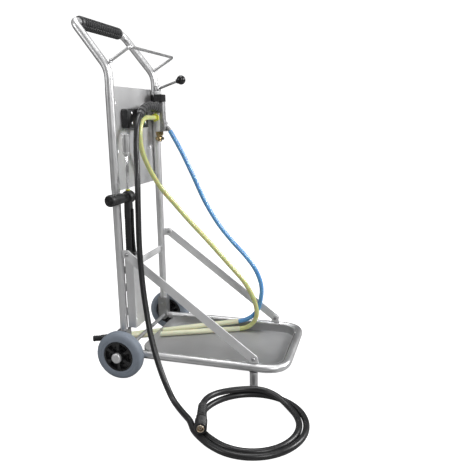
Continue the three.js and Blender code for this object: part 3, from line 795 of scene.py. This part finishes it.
WHEEL_Z = 80.0
WHEEL_X = 212.0
TREAD_HALF = 20.0
SPOKES = 6


def add_wheels():
    for name, side in SIDES:
        body = f"{name}_wheel"
        centre = Vector((side * WHEEL_X, 0, WHEEL_Z))
        out = centre + Vector((side, 0, 0))
        h = TREAD_HALF

        # A tread with round shoulders and three fine grooves, and a bead line on each wall.
        tyre = [(-h + 3, 51.3), (-h + 0.6, 53), (-h, 56), (-h, 58.6), (-h + 0.9, 59.6), (-h, 60.6),
                (-h + 0.3, 66), (-h + 1.8, 72), (-h + 5.2, 76.8), (-h + 10, 79.3), (-6.4, 80),
                (-5.6, 79.4), (-4.8, 80), (-0.8, 80), (0, 79.4), (0.8, 80), (4.8, 80),
                (5.6, 79.4), (6.4, 80), (h - 10, 79.3), (h - 5.2, 76.8), (h - 1.8, 72),
                (h - 0.3, 66), (h, 60.6), (h - 0.9, 59.6), (h, 58.6), (h, 56), (h - 0.6, 53),
                (h - 3, 51.3), (-h + 3, 51.3)]
        piece(f"{name}_tread", [turned(centre, out, tyre, 128)], "tyre_rubber", body,
              (f"{name}_tyre",), 30)

        rim = [(-h + 2, 43.5), (-h + 2, 50), (-h + 3, 51), (h - 3, 51), (h - 1.6, 50.4),
               (h - 1.2, 48), (h - 2.4, 45.5), (h - 5, 44.2), (h - 9, 43.5), (-h + 2, 43.5)]
        hub = [(-h + 1, 7.0), (-h + 1, 19), (h + 2, 19), (h + 4, 17.6), (h + 4, 7.0),
               (-h + 1, 7.0)]
        web = [(3.2, 18), (3.2, 44.2), (6.4, 44.2), (6.4, 18), (3.2, 18)]
        shapes = [turned(centre, out, rim, 112), turned(centre, out, hub, 72),
                  turned(centre, out, web, 96)]
        for k in range(SPOKES):
            turn = Matrix.Rotation(math.radians(360 * k / SPOKES + 30), 4, "X")
            blade = slab([(15.5, -6.5), (31, -4.2), (45, -7.4), (45, 7.4), (31, 4.2), (15.5, 6.5)],
                         -h + 3, h - 3.2, 1.5, "yzx")
            shapes.append(moved(blade, Matrix.Translation(centre) @ turn
                                @ Matrix.Diagonal((side, 1, 1, 1))))
        mid_r, top = 30.5, h - 6.5
        ring = [(5, mid_r - 1.3), (5, mid_r + 1.3), (top, mid_r + 0.9), (top + 0.4, mid_r),
                (top, mid_r - 0.9), (5, mid_r - 1.3)]
        shapes.append(turned(centre, out, ring, 80))
        piece(f"{name}_wheel_disc", shapes, "gloss_black", body, (f"{name}_rim",), 35)

        cap_start = Vector((side * 236.4, 0, WHEEL_Z))
        cap = [(0, 0.01), (0, 16.2), (0.8, 17), (5.2, 17), (7.6, 16.4), (9.4, 14.8), (10.6, 12),
               (10.9, 9), (10.2, 7.6), (10.2, 4), (10.6, 3.4), (10.6, 0.01)]
        ring = [(-0.2, 15.6), (-0.2, 17), (0.7, 17), (0.7, 15.6), (-0.2, 15.6)]
        beyond = cap_start + Vector((side, 0, 0))
        piece(f"{name}_cap", [turned(cap_start, beyond, cap, 72),
                              turned(cap_start, beyond, ring, 60)],
              "pocket_steel", body, (f"{name}_hub_cap",), 35)


def add_wheel_mounts():
    keep("axle", "rod_steel", 0.6)
    for name, side in SIDES:
        keep(f"{name}_wheel_bracket", "bracket_steel", 1.0)
        start = Vector((side * 150.4, 2.5, 124))
        head = hexagon(start, start - Vector((side, 0, 0)), 11.0, 5.2)
        washer = turned(start + Vector((side * 0.3, 0, 0)), start - Vector((side, 0, 0)),
                        [(0, 0.01), (0, 7.6), (1.4, 7.6), (1.6, 7.2), (1.6, 0.01)], 40)
        piece(f"{name}_bracket_bolt", [head, washer], "bolt_steel")


# ---------------------------------------------------------------- injector

BARREL = Vector((146, -16, 0))


def add_injector():
    x, y = BARREL.x, BARREL.y

    # The round barrel, turned bright, with fine grooves.
    profile = [(791.7, 0.01), (791.7, 11.4), (792.4, 12)]
    for z in (806, 836, 842, 848, 872, 878, 893, 926):
        profile += [(z - 0.9, 12), (z - 0.5, 11.3), (z + 0.5, 11.3), (z + 0.9, 12)]
    profile += [(930.8, 12), (931.7, 11.2), (931.7, 0.01)]
    piece("injector_barrel", [turned((x, y, 0), (x, y, 1), profile, 72)], "turned_metal", "cart",
          ("injector_body",), 30)

    # The cast chamber in front of it, with a wider foot and a flange.
    chamber = slab(rounded_outline(134, 158, -40, -23, 5.5), 808, 895.2, 1.4, "xyz")
    shoulder = slab(rounded_outline(134.4, 157.6, -42, -23, 6), 824, 833, 2.2, "xyz")
    foot = slab(rounded_outline(133.6, 158.4, -44, -23, 5), 796, 826, 1.6, "xyz")
    flange = slab(rounded_outline(133.4, 158.6, -44.2, -22.5, 4), 791.9, 797.2, 0.7, "xyz")
    top = slab(rounded_outline(137, 155, -38.5, -24, 5), 884, 895.6, 1.2, "xyz")
    web = box((142.5, -41.4, 834), (149.5, -39, 888), 1.0)
    piece("injector_chamber", [chamber, shoulder, foot, flange, top, web], "cast_metal")
    studs = [screw_head((px, -44.3, z), (0, -1, 0), 2.3, 1.5, False)
             for px in (137.6, 154.4) for z in (800, 821)]
    studs += [screw_head((146, -41.4, 861), (0, -1, 0), 3.0, 1.6, False)]
    piece("injector_studs", studs, "bolt_steel")
    boss = [(0, 0.01), (0, 10), (6, 10), (8, 9.4), (11.6, 9.4), (12.4, 8.6), (12.4, 0.01)]
    outlet = turned((146, -20, 873), (133.5, -20, 873), boss, 56)
    nut = hexagon((137.5, -20, 873), (133.5, -20, 873), 18.6, 3.6)
    piece("injector_outlet", [outlet, nut], "cast_metal")


def add_clamp():
    keep("injector_clamp", "black_plastic", 1.2)
    heads = [screw_head((x, y, 921), (0, 0, 1), 4.2, 2.2) for x, y in ((172, 4), (134, -31))]
    heads += [screw_head((186, y, 908.5), (1, 0, 0), 4.6, 2.4) for y in (-7, 7)]
    piece("clamp_screws", heads, "bolt_steel")


def add_inlets():
    x, y = BARREL.x, BARREL.y
    start, down = Vector((x, y, 791.7)), Vector((x, y, 790.7))
    hexed = hexagon(start, down, 24.4, 13.0, 1.6)
    neck = turned(start, down, [(12, 0.01), (12, 12.6), (13.4, 13.2), (14.6, 10), (19, 10),
                                (20.4, 12), (21, 15.4), (22, 16), (27.6, 16), (28.4, 15.2),
                                (29.2, 15.2), (30.2, 14.2), (30.2, 12.4), (29, 11.6), (29, 8),
                                (22, 8), (22, 0.01)], 72)
    # Two claws, as on a quarter-turn coupling.
    claws = []
    for k in range(2):
        turn = Matrix.Rotation(math.pi * k + 0.6, 4, "Z")
        claw = slab([(9.4, -6.2), (15.6, -4.9), (16, 0), (15.6, 4.9), (9.4, 6.2)], 0, 6.0, 1.0,
                    "xyz")
        claws.append(moved(claw, Matrix.Translation((x, y, 756.0)) @ turn))
    piece("water_coupling", [hexed, neck, *claws], "brass_metal", "cart", ("water_inlet",), 32)
    seal = [(22.2, 7.6), (22.2, 11.4), (28.6, 11.4), (29.5, 10.4), (29.5, 8.4), (28.6, 7.6),
            (22.2, 7.6)]
    piece("water_seal", [turned(start, down, seal, 56)], "black_plastic")

    a, b = Vector((133.4, -14, 841)), Vector((132.4, -14, 841))
    lime_nut = hexagon(a + Vector((-8.6, 0, 0)), b + Vector((-8.6, 0, 0)), 25.4, 12.6, 1.8)
    lime_body = turned(a, b, [(0, 0.01), (0, 7.6), (4, 8), (9, 8), (9, 10.6), (21, 10.6),
                              (21.4, 9.4), (24, 9.2), (29.4, 9.0), (30.2, 8.4), (30.2, 0.01)], 56)
    piece("lime_nut", [lime_nut, lime_body], "lime_fitting", "cart", ("lime_inlet",), 32)

    c = Vector((146, -51, 803))
    towards = Vector((0.2, -5.4, -8.4)).normalized()
    c = c + towards * 0.2
    sky_body = turned(c, c + towards, [(-6, 0.01), (-6, 5.6), (0, 6.4), (1.6, 7), (3.4, 7),
                                       (4, 6.4), (6, 7), (7.4, 6.4), (9.2, 6.6), (9.6, 6),
                                       (9.6, 0.01)], 48)
    arm = sweep([(146, -40, 808), (146, -46, 807), (146, -50, 804.5)], 5.6, 28)
    piece("sky_barb", [sky_body, arm], "cast_metal", "cart", ("sky_inlet",), 35)


def add_lever():
    x, y = BARREL.x, BARREL.y
    hub = turned((x, y, 0), (x, y, 1), [
        (932, 0.01), (932, 9.6), (932.8, 10.5), (936, 10.5), (936.5, 9.9), (937.2, 9.9),
        (937.7, 10.5), (949, 10.5), (951, 9.2), (952, 7), (952, 4.5), (950.6, 4), (950.6, 0.01)],
        56)
    start, end = Vector((x, y - 9.4, 943.3)), Vector((x, -92.0, 965.1))
    axis = (end - start).normalized()
    rod = turned(start, start + axis, [(0, 0.01), (0, 4.4), (62, 4.4), (63, 3.6), (64.5, 3.6),
                                       (65, 4.4), (84, 4.2), (84, 0.01)], 36)
    piece("valve_arm", [hub, rod], "bolt_steel", "valve", ("valve_lever",), 35)
    ball = Vector((146, -106, 969))
    back = (Vector((x, y, 944)) - ball).normalized()
    profile = []
    for k in range(25):
        a = math.pi * k / 24
        profile.append((-15.9 * math.cos(a), max(15.9 * math.sin(a), 0.01)))
    collar = [(13.8, 6.9), (13.8, 8.1), (17.6, 7.6), (18.4, 6.6), (18.4, 4.8), (13.8, 4.8),
              (13.8, 6.9)]
    piece("valve_knob", [turned(ball, ball + back, profile, 64),
                         turned(ball, ball + back, collar, 40)], "gloss_black", "valve",
          ("lever_knob",), 35)


# ---------------------------------------------------------------- suction pipes


def add_suction():
    pipes = (("lime", (137, -312, 59.7), (-62, 139, 59.7), LIME_R),
             ("sky", (149, -304, 84), (-29.4, 128, 52.7), SKY_R))
    for name, front, rear, hose_r in pipes:
        front, rear = Vector(front), Vector(rear)
        axis = (rear - front).normalized()
        length = (rear - front).length
        # The front end is a socket that the hose pushes into.
        profile = [(0, hose_r + 0.1), (0, 9.2), (0.5, 9.5), (length - 1.0, 9.5),
                   (length, 9.0), (length, 0.01), (24, 0.01), (24, hose_r + 0.1)]
        piece(f"{name}_pipe", [turned(front, rear, profile, 56)], "ivory_pipe", "cart",
              (f"{name}_suction_pipe",), 35)
        start = rear + axis * 0.3
        body = [(-0.1, 0.01), (-0.1, 9.6), (1.5, 10.6), (7, 10.9), (8, 10.0), (10, 10.0),
                (11, 10.9)]
        for k in range(5):
            z = 13 + k * 5.4
            body += [(z, 10.9), (z + 0.6, 9.4), (z + 2.2, 9.4), (z + 2.8, 10.9)]
        body += [(41, 10.9), (43.6, 10.2), (44.9, 8.2), (44.9, 0.01)]

        def slots(angle, along):
            cut = 12.5 < along < 40.5 and math.cos(angle * 8) > 0.92
            return 0.9 if cut else 1

        piece(f"{name}_foot_strainer", [turned(start, start + axis, body, 96, slots)],
              "black_plastic", "cart", (f"{name}_strainer",), 35)


def add_kink_sleeve():
    """The ribbed anti-kink sleeve on the pressure hose: nine deep collars that get smaller."""
    path = evenly(smooth_route(SLEEVE_ROUTE), 0.8)
    total = path_length(path)

    def ribbed(done, angle):
        t = done / total
        if done < 14:
            return 15.6 if 1.2 < done < 12.8 else 14.4
        phase = ((done - 14) / (total - 14) * 9) % 1
        rise = min(phase / 0.10, (0.80 - phase) / 0.10, 1)
        return 9.2 + (8.0 - 4.9 * t) * max(rise, 0) ** 0.5 + 0.5 * math.sin(phase * 3.6)

    piece("kink_ribs", [sweep(path, ribbed, 44)], "sleeve_rubber", "cart", ("kink_sleeve",), 50)


# ---------------------------------------------------------------- lance

LANCE_ROOT = Vector((-148.5, -23.5, 381))
LANCE_LEAN = math.radians(1)
LANCE = Matrix.Translation(LANCE_ROOT) @ Matrix.Rotation(LANCE_LEAN, 4, "X")
UP = Vector((0, 0, 1))
HEAD = Vector((0, 0, 216))
HANDLE_TURN = math.radians(8)  # the side handle's turn back from straight left
HANDLE_WAY = Vector((-math.cos(HANDLE_TURN), math.sin(HANDLE_TURN), 0))


def on_lance(shape):
    return moved(shape, LANCE)


def add_lance_gun():
    # The gripped barrel: a rounded box with moulded ribs along its middle.
    stations = [(12.4, 11.8, 8.4), (13.6, 13.6, 10.2), (17, 14.4, 10.9), (44, 14.5, 11)]
    ribs, pitch = 20, 5.3
    for k in range(ribs):
        z = 47 + k * pitch
        stations += [(z, 14.5, 11), (z + 0.7, 13.5, 10.0), (z + 1.9, 13.5, 10.0),
                     (z + 2.6, 14.5, 11)]
    stations += [(158, 14.5, 11), (172, 14.3, 11), (186, 14.0, 10.8), (201, 13.6, 10.6)]
    rings = []
    for z, hx, hy in stations:
        rings.append([Vector((x, y, z)) for x, y in rounded_outline(-hx, hx, -hy, hy, 6.6, 6)])
    body = skin(rings)
    guard = slab([(-6.5, 24), (6.5, 24), (6.5, 30), (-6.5, 30)], -16, -10.4, 1.2, "xzy")
    head = turned(HEAD, HEAD + HANDLE_WAY, [
        (-14, 0.01), (-14, 12), (-13.2, 12.4), (-13.2, 17.4), (-13.9, 17.8), (-13.4, 19),
        (-12, 20), (-4.6, 20), (-4, 19.2), (-2.8, 19.2), (-2.2, 20), (5.4, 20), (8.6, 19.4),
        (10.4, 17.8), (11, 15), (11, 0.01)], 88)
    collar = turned((0, 0, 0), (0, 0, 1), [(226, 0.01), (226, 11), (232, 10.4), (235.4, 8.4),
                                           (236.2, 6.4), (236.2, 0.01)], 48)
    piece("gun_shell", [on_lance(body), on_lance(guard), on_lance(head), on_lance(collar)],
          "black_grip", "lance", ("gun_body",), 32)
    marks = [on_lance(box((13.0, -4.6 + 6.4 * k, 186), (14.5, -1.8 + 6.4 * k, 196), 0.5))
             for k in range(2)]
    piece("gun_marks", marks, "bolt_steel", "lance")

    # The trigger lies in the slot at the front of the barrel.
    blade = sweep([(0, -16.6, 36), (0, -15.2, 50), (0, -13.4, 80), (0, -12.6, 120),
                   (0, -12.8, 160), (0, -13, 177.6)], 0,
                  section=rounded_outline(-4.6, 4.6, -3.6, 3.6, 1.8, 4))
    piece("trigger_blade", [on_lance(blade)], "black_plastic", "trigger",
          ("trigger",), 35)

    grip = [(11.2, 0.01), (11.2, 13.2), (12.4, 14), (30, 15.0), (36, 16.2), (58, 16.6), (64, 17.0),
            (72, 17.6), (80, 18.0), (86, 18.3), (87, 17.4), (88.2, 17.4), (89, 18.5), (94, 18.5),
            (97.6, 17.8), (99.6, 16), (100, 14.4), (98.8, 13.6)]
    for k in range(5):
        r = 12.6 - k * 2.4
        grip += [(98.6, r), (99.5, r - 0.6), (99.5, r - 1.4), (98.6, r - 2)]
    grip += [(98.6, 0.01)]

    def fluted(angle, along):
        return 1 + (0.012 * math.cos(angle * 24) if 36 < along < 84 else 0)

    handle = turned(HEAD, HEAD + HANDLE_WAY, grip, 96, fluted)
    piece("side_grip", [on_lance(handle)], "black_grip", "lance", ("side_handle",), 32)

    pipe = turned((0, 0, 0), UP, [(236.4, 0.01), (236.4, 4.6), (237, 5), (343, 5), (343.7, 4.6),
                                  (343.7, 0.01)], 40)
    piece("lance_tube", [on_lance(pipe)], "polished", "lance", ("lance_pipe",))
    ring = turned((0, 0, 0), UP, [(236.8, 5.2), (236.8, 7.1), (237.2, 7.5), (239.2, 7.5),
                                  (239.7, 7), (239.7, 5.2), (236.8, 5.2)], 56)
    face = HEAD - HANDLE_WAY * 13.3
    wedge = [(-7, 5), (7, 5), (10.4, 12.4), (6, 15.4), (0, 16.6), (-6, 15.4), (-10.4, 12.4)]
    insert = slab(wedge, -1.6, 1.4, 0.5, "yzx")
    insert = moved(insert, Matrix.Translation(face) @ Matrix.Rotation(-HANDLE_TURN, 4, "Z"))
    piece("lime_band", [on_lance(ring), on_lance(insert)], "lime_fitting", "lance",
          ("lance_ring",))
    button = slab(rounded_outline(-6, 6, -7.5, 4, 2), -1.6, 1.9, 0.8, "yzx")
    button = moved(button, Matrix.Translation(face) @ Matrix.Rotation(-HANDLE_TURN, 4, "Z"))
    piece("head_button", [on_lance(button)], "gloss_black", "lance")
    fitting = turned((0, 0, 0), UP, [(0.2, 0.01), (0.2, 5.4), (1, 6), (4.6, 6), (5, 8.4),
                                     (6, 9), (11, 9), (11.8, 8.4), (12, 0.01)], 48)
    piece("lance_inlet", [on_lance(fitting)], "brass_metal", "lance", ("lance_nipple",))


def add_foam_nozzle():
    hexed = moved(hexagon((0, 0, 344.1), (0, 0, 345.1), 17.0, 6.2, 1.0), LANCE)
    barrel = turned((0, 0, 0), UP, [
        (349.6, 0.01), (349.6, 9.6), (351, 11), (352, 11.5), (356, 11.5), (356.6, 11.1),
        (357.6, 11.1), (358.2, 11.5), (402, 11.5), (402.6, 11.1), (403.6, 11.1), (404.2, 11.5),
        (410.6, 11.5), (412, 10.6), (412, 8.4), (411, 7.8), (404, 6.2), (404, 0.01)], 72)
    piece("foam_barrel", [hexed, on_lance(barrel)], "nozzle_steel", "nozzle",
          ("foam_nozzle",), 32)


for add in (add_frame_tube, add_grip, add_hanger, add_cross_tube, add_back_panel,
            add_hose_bracket, add_pocket, add_braces, add_tray, add_legs, add_wheels,
            add_wheel_mounts, add_injector, add_clamp, add_inlets, add_lever, add_suction,
            add_kink_sleeve, add_lance_gun, add_foam_nozzle):
    add()

# ---------------------------------------------------------------- studio

FLOOR_TONE = 0.36
SKY_STRENGTH = 0.36


def add_studio():
    """A floor that curves up all round. It shows white, and lights the object as a grey one."""
    m = bpy.data.materials.new("studio_white")
    m.use_nodes = True
    nodes, link = m.node_tree.nodes, m.node_tree.links.new
    shader = nodes["Principled BSDF"]
    shader.inputs["Base Color"].default_value = (*[FLOOR_TONE] * 3, 1)
    shader.inputs["Roughness"].default_value = 0.9
    glow = nodes.new("ShaderNodeEmission")
    glow.inputs["Color"].default_value = (1, 1, 1, 1)
    glow.inputs["Strength"].default_value = 1.0
    both = nodes.new("ShaderNodeAddShader")
    link(shader.outputs["BSDF"], both.inputs[0])
    link(glow.outputs["Emission"], both.inputs[1])
    path = nodes.new("ShaderNodeLightPath")
    choose = nodes.new("ShaderNodeMixShader")
    link(path.outputs["Is Camera Ray"], choose.inputs["Fac"])
    link(shader.outputs["BSDF"], choose.inputs[1])
    link(both.outputs["Shader"], choose.inputs[2])
    link(choose.outputs["Shader"], nodes["Material Output"].inputs["Surface"])

    profile = [(0.01, 0), (3, 0), (6, 0)]
    for k in range(1, 13):
        a = math.pi / 2 * k / 12
        profile.append((6 + 3 * math.sin(a), 3 - 3 * math.cos(a)))
    profile.append((9, 7))
    points, faces, around = [], [], 96
    for r, z in profile:
        for i in range(around):
            a = 2 * math.pi * i / around
            points.append((r * math.cos(a), r * math.sin(a), z))
    for k in range(len(profile) - 1):
        for i in range(around):
            j = (i + 1) % around
            faces.append((k * around + i, k * around + j, (k + 1) * around + j,
                          (k + 1) * around + i))
    faces.append(tuple(range(around))[::-1])
    mesh = bpy.data.meshes.new("studio_floor")
    mesh.from_pydata(points, [], faces)
    mesh.shade_smooth()
    mesh.materials.append(m)
    floor = bpy.data.objects.new("studio_floor", mesh)
    bpy.context.scene.collection.objects.link(floor)


def add_lights():
    world = bpy.data.worlds.new("sky")
    world.use_nodes = True
    background = world.node_tree.nodes["Background"]
    background.inputs["Color"].default_value = (1, 1, 1, 1)
    background.inputs["Strength"].default_value = SKY_STRENGTH
    bpy.context.scene.world = world

    target = Vector((0, 0, 0.5))
    for name, place, size, power in (
        ("key", (1.2, -3.2, 2.3), 1.4, 128),
        ("fill", (-2.8, -2.4, 2.4), 1.2, 56),
        ("rear", (-2.2, 2.6, 2.0), 1.2, 26),
        ("top", (0.2, 0.2, 3.6), 1.8, 50),
    ):
        data = bpy.data.lights.new(name, "AREA")
        data.shape = "DISK"
        data.size = size
        data.energy = power
        lamp = bpy.data.objects.new(name, data)
        lamp.location = place
        lamp.rotation_euler = (target - Vector(place)).to_track_quat("-Z", "Y").to_euler()
        bpy.context.scene.collection.objects.link(lamp)
    bpy.context.scene.view_settings.view_transform = "Standard"


add_studio()
add_lights()
